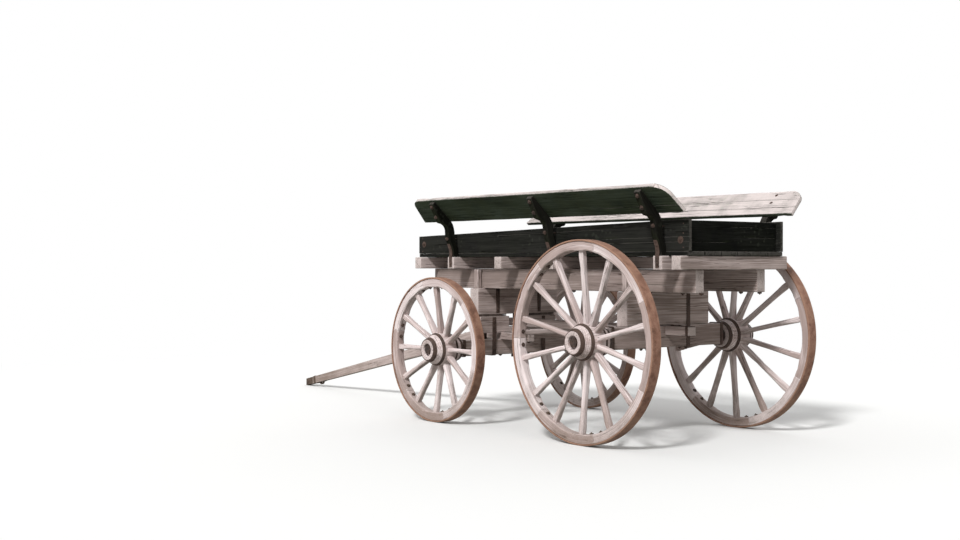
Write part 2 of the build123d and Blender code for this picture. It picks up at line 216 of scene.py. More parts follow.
looks = {
    # The bed boards' dark, mid and pale woods are painted shade: much darker than the bed's weathered wood, to
    # stand for the shade under the flared boards; only what faces up takes a paler sun-bleached colour
    "boardTimber": {
        "dark": (0.0055, 0.0056, 0.0053), "mid": (0.0155, 0.0155, 0.0145), "pale": (0.05, 0.048, 0.043),
        "sun": (0.22, 0.202, 0.184), "sunAmount": 0.45, "edge": 0.12, "bleach": 0.28, "lichen": 0.12,
        "shine": 0.02, "ends": 0.2, "slot": "bed_wood"},
    # The strouters' dark, mid and pale woods are painted shade, darker still than the bed boards
    "strutTimber": {
        "dark": (0.0045, 0.0044, 0.0038), "mid": (0.0125, 0.0118, 0.0098), "pale": (0.045, 0.042, 0.036),
        "sun": (0.12, 0.11, 0.098), "sunAmount": 0.5, "edge": 0.18, "bleach": 0.25, "lichen": 0.1,
        "shine": 0.02, "ends": 0.2, "slot": "bed_wood"},
    # The flared boards' dark olive woods are painted shade for their shaded undersides; the pale sun colour,
    # laid almost fully on what faces up and on sawn ends and strongly on worn edges, is sun bleaching and
    # painted sunlight together, with a painted highlight along the top edge
    "flareTimber": {
        "dark": (0.0175, 0.024, 0.0165), "mid": (0.066, 0.086, 0.062), "pale": (0.14, 0.155, 0.125),
        "sun": (0.7, 0.62, 0.6), "sunAmount": 0.97, "edge": 0.6, "bleach": 0.22, "lichen": 0.2,
        "shine": 0.04, "ends": 0.95, "slot": "flare_wood"},
    "frameTimber": {
        "dark": (0.25, 0.195, 0.176), "mid": (0.57, 0.462, 0.436), "pale": (0.77, 0.675, 0.66),
        "sun": (0.7, 0.615, 0.59), "sunAmount": 0.6, "edge": 0.4, "bleach": 0.6, "lichen": 0.22,
        "shine": 0.2, "ends": 0.3, "slot": "gear_wood"},
    "gearTimber": {
        "dark": (0.26, 0.2, 0.18), "mid": (0.58, 0.468, 0.44), "pale": (0.78, 0.685, 0.67),
        "sun": (0.71, 0.625, 0.6), "sunAmount": 0.5, "edge": 0.45, "bleach": 0.6, "lichen": 0.2,
        "shine": 0.2, "ends": 0.3, "slot": "gear_wood"},
    "wheelTimber": {
        "dark": (0.43, 0.33, 0.305), "mid": (0.73, 0.607, 0.594), "pale": (0.87, 0.782, 0.777),
        "sun": (0.85, 0.76, 0.745), "sunAmount": 0.35, "edge": 0.5, "bleach": 0.8, "lichen": 0.08,
        "shine": 0.25, "ends": 0.2, "slot": "wheel_wood"},
    "tyreRust": {
        "scale": (0.115, 0.054, 0.036), "body": (0.26, 0.122, 0.081), "dust": (0.37, 0.217, 0.152),
        "flakes": 0.12, "slot": "tyre_iron"},
    "fittingRust": {
        "scale": (0.015, 0.0105, 0.009), "body": (0.041, 0.0245, 0.019), "dust": (0.09, 0.056, 0.043),
        "flakes": 0.75, "slot": "fitting_iron"},
    "rubbedIron": {
        "scale": (0.045, 0.038, 0.035), "body": (0.11, 0.076, 0.062), "dust": (0.26, 0.21, 0.185),
        "flakes": 0.3, "slot": "fitting_iron"},
}
# Soil and lichen are dirt; the dark green tint laid on what faces down is damp and painted shade together
dirtAndShade = {"soil": (0.17, 0.125, 0.085), "damp": (0.045, 0.055, 0.028), "lichen": (0.36, 0.4, 0.3)}


def newMaterial(name):
    material = bpy.data.materials.new(name)
    material.use_nodes = True
    return material, material.node_tree, material.node_tree.nodes["Principled BSDF"]


def attribute(tree, name, out="Fac"):
    return addNode(tree, "ShaderNodeAttribute", out=out, attribute_name=name)


def makeTimber(name, look, turn=None, mirrored=False):
    # Own pieces carry grain, wear, tone and sawn ends as attributes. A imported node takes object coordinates,
    # turned so that its grain runs along X, and its worn edges come from a bevelled normal
    material, tree, shader = newMaterial(name)
    point, normal = addNode(tree, "ShaderNodeTexCoord", out=("Object", "Normal"))
    relief = {"Distance": 0.0016, "Strength": 0.9}
    if turn is None:
        grain = attribute(tree, "grain", "Vector")
        wear, tone, end = (attribute(tree, label) for label in ("wear", "tone", "end"))
    else:
        along, facing = point, normal
        if mirrored:
            along = vectorMath("ABSOLUTE", along)
            facing = vectorMath("MULTIPLY", facing, vectorMath("SIGN", point))
        grain, facing = (addNode(tree, "ShaderNodeMapping", {"Vector": vector, "Rotation": turn})
                         for vector in (along, facing))
        flat = addNode(tree, "ShaderNodeNewGeometry", out="Normal")
        wear = smooth(vectorMath("DOT_PRODUCT", roundedNormal(tree, 0.006), flat), 1.0, 0.86)
        tone, end = noise(point, 1.5, 1.0), smooth(splitXyz(facing)[0].math("ABSOLUTE"), 0.75, 0.9)
        relief["Normal"] = roundedNormal(tree, 0.004)
    woods = (look[key] for key in ("dark", "mid", "pale", "bleach"))
    colour, roughness, height, check = useGroup(tree, grainGroup, grain, end, tone, *woods)
    sun, edge, soil, lichen, damp = useGroup(tree, weatherAndLightGroup, point, normal, wear)
    # The sun colour laid on what faces up, on sawn ends and on worn edges is sun bleaching, and on the flare
    # boards painted sunlight and a painted highlight as well
    sunned = blend(1.0, look["sun"], smooth(height, 0.1, 0.75, 0.55, 1.12), "MULTIPLY")
    sunned = blend(check, sunned, colour)
    # On what faces down the dark green tint is damp and painted shade together
    for amount, over in ((end * look["ends"], sunned), (sun * look["sunAmount"], sunned),
                         (edge * look["edge"], look["sun"]), (damp * 0.45, dirtAndShade["damp"]),
                         (lichen * look["lichen"], dirtAndShade["lichen"]), (soil * 0.5, dirtAndShade["soil"])):
        colour = blend(amount, colour, over)
    bump = addNode(tree, "ShaderNodeBump", {"Height": height, **relief})
    feed(shader, {"Base Color": colour, "Roughness": roughness, "Normal": bump,
                  "Specular IOR Level": look["shine"]})
    return material


def makeRust(name, look, bevelled=False):
    material, tree, shader = newMaterial(name)
    point, normal = addNode(tree, "ShaderNodeTexCoord", out=("Object", "Normal"))
    wear = attribute(tree, "wear")
    rusts = (look[key] for key in ("flakes", "scale", "body", "dust"))
    colour, roughness, height = useGroup(tree, rustGroup, point, wear, *rusts)
    sun, _, soil, _, _ = useGroup(tree, weatherAndLightGroup, point, normal, wear)
    colour = blend(soil * 0.35, blend(sun * 0.25, colour, look["dust"]), dirtAndShade["soil"])
    relief = {"Normal": roundedNormal(tree, 0.0025)} if bevelled else {}
    bump = addNode(tree, "ShaderNodeBump", {"Height": height, "Distance": 0.0012, "Strength": 0.8, **relief})
    feed(shader, {"Base Color": colour, "Roughness": roughness, "Normal": bump, "Specular IOR Level": 0.35})
    return material


materials = {name: (makeTimber if "dark" in look else makeRust)(name, look) for name, look in looks.items()}
print("materials ready")

# Helpers that build and place meshes. A solid is a closed shell of quads with the grain, wear, tone and
# sawn ends that its material reads

xAxis, yAxis, zAxis = np.eye(3)
wagonSides = {"left": 1, "right": -1}


def unit(vectors):
    vectors = np.asarray(vectors, float)
    return vectors / np.linalg.norm(vectors, axis=-1, keepdims=True)


def columns(*parts):
    # Lists of numbers side by side, with single numbers repeated down them
    return np.column_stack(np.broadcast_arrays(*parts))


def faceOut(points, faces):
    # The signed volume of a closed shell is positive when its faces point outwards; if not, they are turned
    points = points - points.mean(0)
    a, b, c, d = (points[faces[:, corner]] for corner in range(4))
    volume = np.einsum("ij,ij->", a, np.cross(b, c) + np.cross(c, d))
    return faces if volume > 0 else faces[:, ::-1]


def makeSolid(points, faces, wear=0.0, grain=None, tone=0.5, end=0.0):
    wear, tone, end = (np.broadcast_to(value, len(points)) for value in (wear, tone, end))
    return {"points": points, "faces": faceOut(points, faces), "wear": wear, "tone": tone, "end": end,
            "grain": points.copy() if grain is None else grain}


def flipSide(solid):
    # The same solid on the wagon's other side, with other grain
    points = solid["points"] * (1, -1, 1)
    return {**solid, "points": points, "faces": faceOut(points, solid["faces"]),
            "grain": solid["grain"] + (17.3, 0, 0)}


def onSide(solids, sign):
    return solids if sign > 0 else [flipSide(solid) for solid in solids]


def bothSides(solids):
    return solids + onSide(solids, -1)


def addObject(name, data):
    item = bpy.data.objects.new(name, data)
    bpy.context.scene.collection.objects.link(item)
    return item


def makePiece(name, solids, body="wagon_bed", look="fittingRust", *replaced):
    # Joins the solids into one mesh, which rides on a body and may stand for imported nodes
    def joined(label):
        return np.concatenate([solid[label] for solid in solids])

    points = joined("points")
    firsts = np.cumsum([0] + [len(solid["points"]) for solid in solids])
    faces = np.concatenate([solid["faces"] + first for solid, first in zip(solids, firsts)])
    mesh = bpy.data.meshes.new(name)
    mesh.vertices.add(len(points))
    mesh.vertices.foreach_set("co", points.astype(np.float32).ravel())
    mesh.loops.add(faces.size)
    mesh.loops.foreach_set("vertex_index", faces.astype(np.int32).ravel())
    mesh.polygons.add(len(faces))
    mesh.polygons.foreach_set("loop_start", np.arange(0, faces.size, 4, dtype=np.int32))
    mesh.update(calc_edges=True)
    mesh.polygons.foreach_set("use_smooth", np.ones(len(faces), bool))
    mesh.set_sharp_from_angle(angle=math.radians(38))
    for label, kind, key in (("grain", "FLOAT_VECTOR", "vector"), ("wear", "FLOAT", "value"),
                             ("tone", "FLOAT", "value"), ("end", "FLOAT", "value")):
        values = mesh.attributes.new(label, kind, "POINT")
        values.data.foreach_set(key, joined(label).astype(np.float32).ravel())
    mesh.materials.append(materials[look])
    piece = addObject(name, mesh)
    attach(piece, body)
    if replaced:
        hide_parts(*replaced)


def makeRing(faceSteps, sideSteps, faceChecks=(), sideChecks=(), gap=0.03, arc=4):
    # Half a section from the right side's middle over the top to the left, then its mirror image below.
    # Each point has a core place, -1 to 1 both ways, the way it faces, and the number of its check or -1
    def spread(steps, checks):
        places = [(s, -1) for s in steps]
        for number, middle in enumerate(checks):
            places += [(middle - gap, -1), (middle, number), (middle + gap, -1)]
        places.sort()
        return np.array([p for p, _ in places]), np.array([c for _, c in places], int)

    side, sideId = spread(sideSteps, sideChecks)
    face, faceId = spread(faceSteps, faceChecks)
    sideId = np.where(sideId >= 0, sideId + len(faceChecks), -1)
    turn = np.linspace(0, np.pi / 2, arc + 1)
    right, top = np.ones(len(side)), np.ones(len(face))
    corner, none = np.ones(arc + 1), np.full(arc + 1, -1)
    core = np.column_stack([np.concatenate([right, corner, face[::-1], -corner, -right]),
                            np.concatenate([side, corner, top, corner, side[::-1]])])
    normal = np.column_stack([np.concatenate([right, np.cos(turn), 0 * top, -np.sin(turn), -right]),
                              np.concatenate([0 * right, np.sin(turn), top, np.cos(turn), 0 * right])])
    total = len(faceChecks) + len(sideChecks)
    leftId = np.where(sideId >= 0, sideId + 2 * total, -1)[::-1]
    check = np.concatenate([sideId, none, faceId[::-1], none, leftId])
    below = np.where(check >= 0, check + total, -1)[::-1]
    core, normal = (np.concatenate([half, half[::-1] * (1, -1)]) for half in (core, normal))
    return core, normal, np.concatenate([check, below])


def wander(rng, along, spread, waves=3, length=0.5):
    # A sum of sines with random phases, from 0 to 1, along the piece and slowly round it
    total = np.zeros((len(along), len(spread)))
    for _ in range(waves):
        turn = rng.uniform(0.6, 2.2) / length
        phase, lean = rng.uniform(0, 1), rng.uniform(-0.4, 0.4)
        total += np.sin(2 * np.pi * (turn * along[:, None] + phase + lean * spread[None]))
    return 0.5 + 0.5 * total / waves


def cornerRadii(rng, along, radius, least=0.6, more=0.9):
    # Four corner radii that swell and shrink along the piece
    return radius * (least + more * wander(rng, along, np.array([0.0, 1.6, 3.1, 4.7])))


def skin(count, size, closed):
    # Quads between count rings of size points; an open tube is closed at both ends with rungs of quads
    grid = np.arange(count * size).reshape(count, size)
    if closed:
        grid = np.concatenate([grid, grid[:1]])
    grid = np.concatenate([grid, grid[:, :1]], 1)
    walls = np.stack([grid[:-1, :-1], grid[1:, :-1], grid[1:, 1:], grid[:-1, 1:]], -1).reshape(-1, 4)
    if closed:
        return walls
    low = np.arange(size // 2 - 1)
    rungs = np.stack([low, low + 1, size - 2 - low, size - 1 - low], 1)
    return np.concatenate([walls, rungs, rungs[:, ::-1] + (count - 1) * size])


def checkWindow(rng, along, length):
    # Where a check opens: from one end, from the other, or in the middle, fading over its reach
    reach = rng.uniform(0.15, 0.6) * length
    start = rng.choice([0.0, 1.0, rng.uniform(0.1, 0.5)], p=[0.4, 0.3, 0.3])
    if start in (0.0, 1.0):
        return np.clip(1 - np.abs(start * length - along) / reach, 0, 1)
    return np.clip(1 - np.abs(along - length * (start + 0.2)) / reach * 2, 0, 1)


cornerSigns = ((1, 1), (-1, 1), (-1, -1), (1, -1))


def carrySection(rng, centre, side, up, half, corner, ring, closed=False, checkDepth=0.004, checkCount=3,
                 wobble=0.0008, nicks=0, nickDepth=0.006, endRound=0.004, trim=None, tone=None):
    # Carries the section along the line of centres: core place times the half size less the corner radius,
    # plus the radius outwards, less what wear, checks and nicks take away
    core, normal, check = ring
    centre = np.asarray(centre, float)
    count = len(centre)
    side, up = (np.broadcast_to(np.asarray(way, float), (count, 3)) for way in (side, up))
    half = np.broadcast_to(np.asarray(half, float), (count, 2)).copy()
    along = np.concatenate([[0], np.cumsum(np.linalg.norm(np.diff(centre, axis=0), axis=1))])
    length = along[-1]
    share = np.stack([(1 + a * core[:, 0]) * (1 + b * core[:, 1]) / 4 for a, b in cornerSigns], 1)
    radius = np.broadcast_to(np.asarray(corner, float), (count, 4)) @ share.T
    turn = np.arctan2(normal[:, 1] + core[:, 1], normal[:, 0] + core[:, 0])
    loss = wobble * wander(rng, along, turn)
    fromEnd = np.minimum(along, length - along)
    if not closed:
        near = np.clip(1 - fromEnd / endRound, 0, 1)
        half -= (endRound * (1 - np.sqrt(1 - near**2)))[:, None] * 0.98
    for _ in range(nicks):
        at, deep, wide = rng.uniform(0, length), rng.uniform(0.3, 1) * nickDepth, rng.uniform(0.006, 0.03)
        loss += deep * np.exp(-((along - at) / wide) ** 2)[:, None] * share[:, rng.integers(4)] ** 8
    for number in rng.permutation(np.unique(check[check >= 0]))[:checkCount]:
        window = checkWindow(rng, along, length) ** 0.6
        loss += (check == number)[None] * (rng.uniform(0.5, 1) * checkDepth * window)[:, None]
    flat = core[None] * (half[:, None] - radius[..., None]) + normal[None] * (radius - loss)[..., None]
    points = centre[:, None] + side[:, None] * flat[..., :1] + up[:, None] * flat[..., 1:]
    if trim is not None:
        t = (along / length)[:, None, None]
        heading = unit(centre[-1] - centre[0])
        points = points + heading * (trim[0][None, :, None] * (1 - t) - trim[1][None, :, None] * t)
    shift = np.array([rng.uniform(0, 40), *(rng.choice([-1, 1], 2) * rng.uniform(0.02, 0.09, 2))])
    grain = np.stack(np.broadcast_arrays(along[:, None], flat[..., 0], flat[..., 1]), -1) + shift
    fromCorner = np.linalg.norm(half[:, None] - np.abs(flat), axis=-1)
    wear = np.exp(-fromCorner / 0.007) + 0.7 * np.exp(-fromEnd / 0.008)[:, None] * (not closed)
    end = np.zeros(flat.shape[:2])
    if not closed:
        end[[0, -1]] = 1
    return makeSolid(points.reshape(-1, 3), skin(count, len(core), closed), np.clip(wear, 0, 1).ravel(),
                     grain.reshape(-1, 3), rng.uniform(0, 1) if tone is None else tone, end.ravel())


def stations(length, spacing=0.04, endRound=0.004):
    # Even stations along a piece, with a few close to each end for its rounding
    edge = endRound * np.array([0.0, 0.12, 0.45, 1.0])
    inner = np.linspace(edge[-1], length - edge[-1], max(3, int(length / spacing)))
    return np.concatenate([edge[:-1], inner, length - edge[-2::-1]]) / length


blockRing = makeRing((-0.8, -0.3, 0.2, 0.75), (0.12, 0.75), (-0.52, 0.05, 0.48), (0.42,))
plankRing = makeRing((-0.93, -0.6, -0.25, 0.1, 0.45, 0.8, 0.93), (0.3,), (-0.42, -0.08, 0.28, 0.64), gap=0.018)
ironRing = makeRing((-0.5, 0.5), (0.5,), arc=2)


def layTimber(rng, start, end, side, width, height, ring=blockRing, corner=0.005, spacing=0.04, **more):
    # A straight timber: the block section carried from start to end, side is the way its width lies
    start, end = np.asarray(start, float), np.asarray(end, float)
    length = np.linalg.norm(end - start)
    t = stations(length, spacing)
    side = unit(side)
    up = np.cross((end - start) / length, side)
    return carrySection(rng, start + (end - start) * t[:, None], side, up, (width / 2, height / 2),
                        cornerRadii(rng, t * length, corner), ring, **more)


def turnProfile(profile, segments=48, wear=0.3, spin=0.0, loop=False, end=0.0):
    # Turns a profile of radius and height about Z: an open one gets flat ends, a loop makes a hoop or washer
    profile = np.asarray(profile, float)
    angle = np.arange(segments) / segments * 2 * np.pi + spin
    points = np.stack([profile[:, :1] * np.cos(angle), profile[:, :1] * np.sin(angle),
                       np.repeat(profile[:, 1:], segments, 1)], -1).reshape(-1, 3)
    return makeSolid(points, skin(len(profile), segments, loop), wear, end=end)


def placeCopies(solid, spots, axes, spins=0.0):
    # Copies a solid made along Z to each spot, its Z turned to the axis there and itself turned about it
    spots, axes = np.atleast_2d(np.asarray(spots, float)), unit(np.atleast_2d(axes))
    axes = np.broadcast_to(axes, spots.shape)
    helper = np.where(np.abs(axes[:, :1]) < 0.9, [[1.0, 0, 0]], [[0, 1.0, 0]])
    first = unit(np.cross(helper, axes))
    second = np.cross(axes, first)
    spins = np.broadcast_to(spins, len(spots))[:, None]
    turned = np.stack([first * np.cos(spins) + second * np.sin(spins),
                       second * np.cos(spins) - first * np.sin(spins), axes], 1)
    points = (np.einsum("pk,nkj->npj", solid["points"], turned) + spots[:, None]).reshape(-1, 3)
    faces = solid["faces"] + (np.arange(len(spots)) * len(solid["points"]))[:, None, None]
    values = {key: np.tile(solid[key], len(spots)) for key in ("wear", "tone", "end")}
    return {"points": points, "faces": faces.reshape(-1, 4), "grain": points, **values}


def bendStrap(rng, line, side, width=0.04, thick=0.005):
    # A flat iron strap carried along a line of points: its face is square to the line, its width along side
    line = np.asarray(line, float)
    side = np.broadcast_to(unit(side), line.shape)
    up = unit(np.cross(unit(np.gradient(line, axis=0)), side))
    return carrySection(rng, line, side, up, (width / 2, thick / 2), min(0.0015, thick * 0.35), ironRing,
                        wobble=0.0003, endRound=0.002, checkCount=0)


def wrapBand(rng, centre, first, second, halfFirst, halfSecond, width, thick=0.005, bend=0.008):
    # A closed band round a timber: a rounded rectangle in the plane of first and second, its width across it
    turn = np.concatenate([np.linspace(0, np.pi / 2, 4) + quarter * np.pi / 2 for quarter in range(4)])
    out = columns(np.cos(turn), np.sin(turn))
    reach = np.array([halfFirst, halfSecond]) + thick / 2 - bend
    flat = np.repeat(cornerSigns, 4, axis=0) * reach + out * bend
    ways = np.stack([unit(first), unit(second)])
    return carrySection(rng, np.asarray(centre, float) + flat @ ways, np.cross(ways[0], ways[1]), out @ ways,
                        (width / 2, thick / 2), 0.0015, ironRing, closed=True, wobble=0.0003, checkCount=0)


def nut(size, height, sides=4):
    half = math.pi / sides
    reach = size / 2 / math.cos(half)
    return turnProfile([(reach, 0), (reach, height * 0.8), (reach * 0.86, height)], sides, 0.5, half)


def dome(radius, height, segments=14):
    turn = np.linspace(0, 0.93, 5) * np.pi / 2
    return turnProfile(np.column_stack([radius * np.cos(turn), height * np.sin(turn)]), segments, 0.6)


def rod(radius, length, segments=14):
    chamfer = min(0.0015, radius * 0.3)
    return turnProfile([(radius - chamfer, 0), (radius, chamfer), (radius, length - chamfer),
                        (radius - chamfer, length)], segments, 0.4)


def washer(inner, outer, thick, segments=24):
    edge = thick * 0.25
    loop = [(inner, 0), (outer - edge, 0), (outer, edge), (outer, thick - edge), (outer - edge, thick),
            (inner, thick)]
    return turnProfile(loop, segments, 0.5, loop=True)


# Timbers of the bed

bed = {
    "rearX": -2.675, "frontX": 0.22, "sillX": (-2.62, 0.17), "sillY": 0.3, "sillZ": (0.992, 1.142),
    "beams": (-2.62, -2.46, -1.42, -0.85, -0.28, 0.15), "beamHalf": 0.52, "width": 0.08,
    "floorZ": (1.232, 1.26), "plankStep": 0.154, "plankWidth": 0.15, "uneven": 0.012, "sideY": 0.446,
    "sideTop": (1.463, 1.397), "halfThick": 0.014, "ends": (-2.625, 0.17), "endHalf": 0.432,
    "endThick": 0.026, "endDrop": 0.006, "strouters": (-2.46, -1.42, -0.28),
}
rng = np.random.default_rng(11)
sillBottom, sillTop = bed["sillZ"]
floorBottom, floorTop = bed["floorZ"]
planks = (np.arange(6) - 2.5) * bed["plankStep"]
boardWear = {"checkCount": 4, "checkDepth": 0.006}


def sideTopAt(x):
    # The side boards' top edge falls forwards
    return np.interp(x, (bed["rearX"], bed["frontX"]), bed["sideTop"])


def layAlong(rng, ends, y, low, high, width, **more):
    z = (low + high) / 2
    return layTimber(rng, (ends[0], y, z), (ends[1], y, z), yAxis, width, high - low, **more)


def layAcross(rng, x, half, low, high, width=0.1, **more):
    z = (low + high) / 2
    return layTimber(rng, (x, -half, z), (x, half, z), xAxis, width, high - low, **more)


solids = [layAlong(rng, bed["sillX"], y, sillBottom, sillTop, bed["width"], corner=0.006, nicks=9)
          for y in (bed["sillY"], -bed["sillY"])]
makePiece("sillTimbers", solids, "wagon_bed", "frameTimber", "sills")
solids = [layAcross(rng, x, bed["beamHalf"], sillTop, floorBottom, bed["width"], corner=0.006, nicks=4)
          for x in bed["beams"]]
makePiece("crossBeamTimbers", solids, "wagon_bed", "frameTimber", "cross_beams")

solids = []
for y in planks:
    rear, front = rng.uniform(0, bed["uneven"], 2)
    solids.append(layAlong(rng, (bed["rearX"] + rear, bed["frontX"] - front), y, floorBottom, floorTop,
                           bed["plankWidth"], ring=plankRing, corner=0.003, **boardWear, nicks=8))
makePiece("floorPlanks", solids, "wagon_bed", "boardTimber", "floor_boards")

length = bed["frontX"] - bed["rearX"]
x = bed["rearX"] + length * stations(length)
height = sideTopAt(x) - floorTop
for side, sign in wagonSides.items():
    centre, half = columns(x, sign * bed["sideY"], floorTop + height / 2), columns(height / 2, bed["halfThick"])
    board = carrySection(rng, centre, zAxis, -yAxis, half, cornerRadii(rng, x, 0.004), plankRing, nicks=12,
                         checkCount=5, checkDepth=0.005)
    makePiece(f"sideBoard.{side}", [board], "wagon_bed", "boardTimber", f"side_board_{side}")

solids = []
for x, top in zip(bed["ends"], bed["sideTop"]):
    z, height = (floorTop + top - bed["endDrop"]) / 2, top - bed["endDrop"] - floorTop
    solids.append(layTimber(rng, (x, -bed["endHalf"], z), (x, bed["endHalf"], z), zAxis, height,
                            bed["endThick"], plankRing, 0.004, nicks=5, **boardWear))
makePiece("endBoards", solids, "wagon_bed", "boardTimber", "end_boards")
print("bed timbers ready")

# The two flared side boards: one section, wide up the slope, carried along X, where each line of it ends as
# the outline says

flare = {"low": (0.53, 1.5), "high": (0.705, 1.66), "thick": 0.028, "rearX": -2.7, "frontX": 0.04,
         "rear": {"rake": 0.025, "radius": 0.105}, "front": {"rake": 0.066, "radius": 0.09},
         "bolts": (0.118, 0.196)}
flareLow, flareHigh = np.array(flare["low"]), np.array(flare["high"])
flareRise = np.linalg.norm(flareHigh - flareLow)
flareSlope = (flareHigh - flareLow) / flareRise
flareNormal = np.array([-flareSlope[1], flareSlope[0]])
steps = np.concatenate([np.linspace(-0.97, -0.55, 8), (-0.35, -0.1, 0.15), np.linspace(0.35, 0.99, 16)])
flareRing = makeRing(steps, (0.3,), (-0.46, -0.22, 0.04, 0.26), gap=0.012)


def underFlare(along, below):
    # A place measured up the flare board's slope and square down from its underside
    return flareLow + along * flareSlope - below * flareNormal


def drawnIn(s, rake, radius):
    # How far an end lies in at each height up the slope: a slanted line, and above it the arc that touches
    # both the line and the board's top edge
    lean = math.atan2(flareRise, rake)
    line = rake * s / flareRise
    fromTop = s - (flareRise - radius)
    arc = rake + radius / math.tan((math.pi - lean) / 2) - np.sqrt(np.clip(radius**2 - fromTop**2, 0, None))
    return np.where((fromTop > radius * math.cos(lean)) & (arc > line), arc, line)


length = flare["frontX"] - flare["rearX"]
t = stations(length, 0.035)
centre = columns(flare["rearX"] + length * t, *underFlare(flareRise / 2, -flare["thick"] / 2))
half = (flareRise / 2, flare["thick"] / 2)
s = (flareRing[0][:, 0] * 0.985 + 1) / 2 * flareRise
trim = [drawnIn(s, **flare[end]) for end in ("rear", "front")]
for side, sign in wagonSides.items():
    radii = cornerRadii(rng, t * length, 0.0045, 0.5, 1.0)
    board = carrySection(rng, centre, (0, *flareSlope), (0, *flareNormal), half, radii, flareRing, trim=trim,
                         nicks=14, nickDepth=0.005, checkCount=5, checkDepth=0.006, tone=0.5)
    makePiece(f"flareBoard.{side}", onSide([board], sign), "wagon_bed", "flareTimber", f"flare_board_{side}")

# Strouters, the curved struts under the flared boards

strouter = {"width": 0.052, "innerY": 0.464, "depth": 0.05, "straight": 0.005,
            "innerBends": ((0.483, 1.33), (0.4985, 1.41)),
            "outerBends": ((0.538, 1.33), (0.5615, 1.425), (0.624, 1.489), (0.644, 1.5015)),
            "seat": (0.014, 0.22), "tip": 0.026}


def strouterLine(counts, *places):
    # In the complex plane: up from the foot, then one tangent arc after another through the bends, then
    # straight to the tip. A chord leaves the heading by half the angle that its arc turns through
    foot, *bends, tip = (complex(*place) for place in places)
    line, heading = [foot + 1j * strouter["straight"] * np.array([0, 0.05, 0.15, 0.5, 1])], 1j
    for end, count in zip(bends, counts):
        start = line[-1][-1]
        sweep = 2 * np.angle((end - start) / heading)
        centre = start + 1j * heading * abs(end - start) / (2 * math.sin(sweep / 2))
        turned = np.exp(1j * sweep * np.arange(1, count + 1) / count)
        line.append(centre + (start - centre) * turned)
        heading *= turned[-1]
    share = np.array([0.12, 0.3, 0.5, 0.7, 0.88, 0.97, 0.99, 1.0])
    line = np.concatenate([*line, line[-1][-1] + (tip - line[-1][-1]) * share])
    return columns(line.real, line.imag)


strouterInner = strouterLine((8, 8, 12), (strouter["innerY"], floorBottom), *strouter["innerBends"],
                             *(underFlare(along, 0) for along in strouter["seat"]))
strouterTip = underFlare(strouter["seat"][1], strouter["tip"])
strouterOuter = strouterLine((8, 8, 7, 5), (strouter["innerY"] + strouter["depth"], floorBottom),
                             *strouter["outerBends"], strouterTip)

# The two curves give the section's middle and depth at each station; stop chamfers swell between the ends
middle, acrossIt = (strouterInner + strouterOuter) / 2, strouterOuter - strouterInner
t = np.linspace(0, 1, len(middle))
swell = np.clip(np.minimum(t - 0.1, 0.92 - t) * 14, 0, 1)
outerCorner, innerCorner = 0.003 + 0.006 * swell, 0.002 + 0.0035 * swell * (t < 0.6)
radii = columns(outerCorner, outerCorner, innerCorner, innerCorner)
half = columns(strouter["width"] / 2, np.linalg.norm(acrossIt, axis=1) / 2)
up = columns(0, *unit(acrossIt).T)
for side, sign in wagonSides.items():
    solids = [carrySection(rng, columns(x, *middle.T), xAxis, up, half, radii, blockRing, nicks=2,
                           nickDepth=0.004, checkDepth=0.005, endRound=0.003) for x in bed["strouters"]]
    makePiece(f"strouters.{side}", onSide(solids, sign), "wagon_bed", "strutTimber", f"strouters_{side}")
print("flare boards and strouters ready")

# Timbers of both gears

gear = {"rearX": -2.02, "frontX": -0.42, "bolsterHalf": 0.4, "axleHalf": 0.556, "rearAxleZ": (0.61, 0.76),
        "frontAxleZ": (0.48, 0.6), "frontBolsterLow": 0.792, "swayX": -0.835, "swayHalf": 0.35,
        "swayZ": (0.65, 0.688), "swayWidth": 0.06, "stakeY": 0.364, "stakeSize": (0.046, 0.042)}
rearX, frontX = gear["rearX"], gear["frontX"]
bolster, axleBed = {"half": gear["bolsterHalf"], "nicks": 5}, {"half": gear["axleHalf"], "nicks": 7}
crossTimbers = (
    ("rearBolster", "rear_bolster", "wagon_bed", rearX, bolster, (gear["rearAxleZ"][1], sillBottom)),
    ("frontBolster", "front_bolster", "wagon_bed", frontX, bolster, (gear["frontBolsterLow"], sillBottom)),
    ("rearAxleBed", "rear_axle_bed", "wagon_bed", rearX, axleBed, gear["rearAxleZ"]),
    ("frontAxleBed", "front_axle_bed", "front_gear", frontX, axleBed, gear["frontAxleZ"]),
)
for name, nodeName, body, x, kind, (low, high) in crossTimbers:
    timber = layAcross(rng, x, low=low, high=high, corner=0.007, checkDepth=0.008, **kind)
    makePiece(name, [timber], body, "gearTimber", nodeName)
timber = layAcross(rng, gear["swayX"], gear["swayHalf"], *gear["swayZ"], gear["swayWidth"], corner=0.007,
                   nicks=4)
makePiece("swayBar", [timber], "front_gear", "gearTimber", "sway_bar")
stakes = [(x, y) for x in (rearX, frontX) for y in (gear["stakeY"], -gear["stakeY"])]
solids = [layTimber(rng, (*stake, sillBottom), (*stake, sillTop - 0.006), xAxis, *gear["stakeSize"],
                    corner=0.006, spacing=0.02, nicks=2) for stake in stakes]
makePiece("bolsterStakes", solids, "wagon_bed", "gearTimber", "bolster_stakes")


def dressNode(nodeName, material):
    slots = nodes[nodeName].data.materials
    slots.clear()
    slots.append(material)


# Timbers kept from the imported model: the turn in degrees that lays their grain along X, and if it is mirrored
keptTimbers = {
    "sand_bolster": ((0, 0, 90), False), "reach": ((0, 0, 0), False), "tongue": ((0, -12, 0), False),
    "rear_hounds": ((0, 0, -23), True), "front_hounds": ((0, 0, -8.6), True),
}
for nodeName, (turn, mirrored) in keptTimbers.items():
    turn = tuple(math.radians(angle) for angle in turn)
    dressNode(nodeName, makeTimber(f"gearTimber.{nodeName}", looks["gearTimber"], turn, mirrored))
print("gear timbers ready")

# Wheels

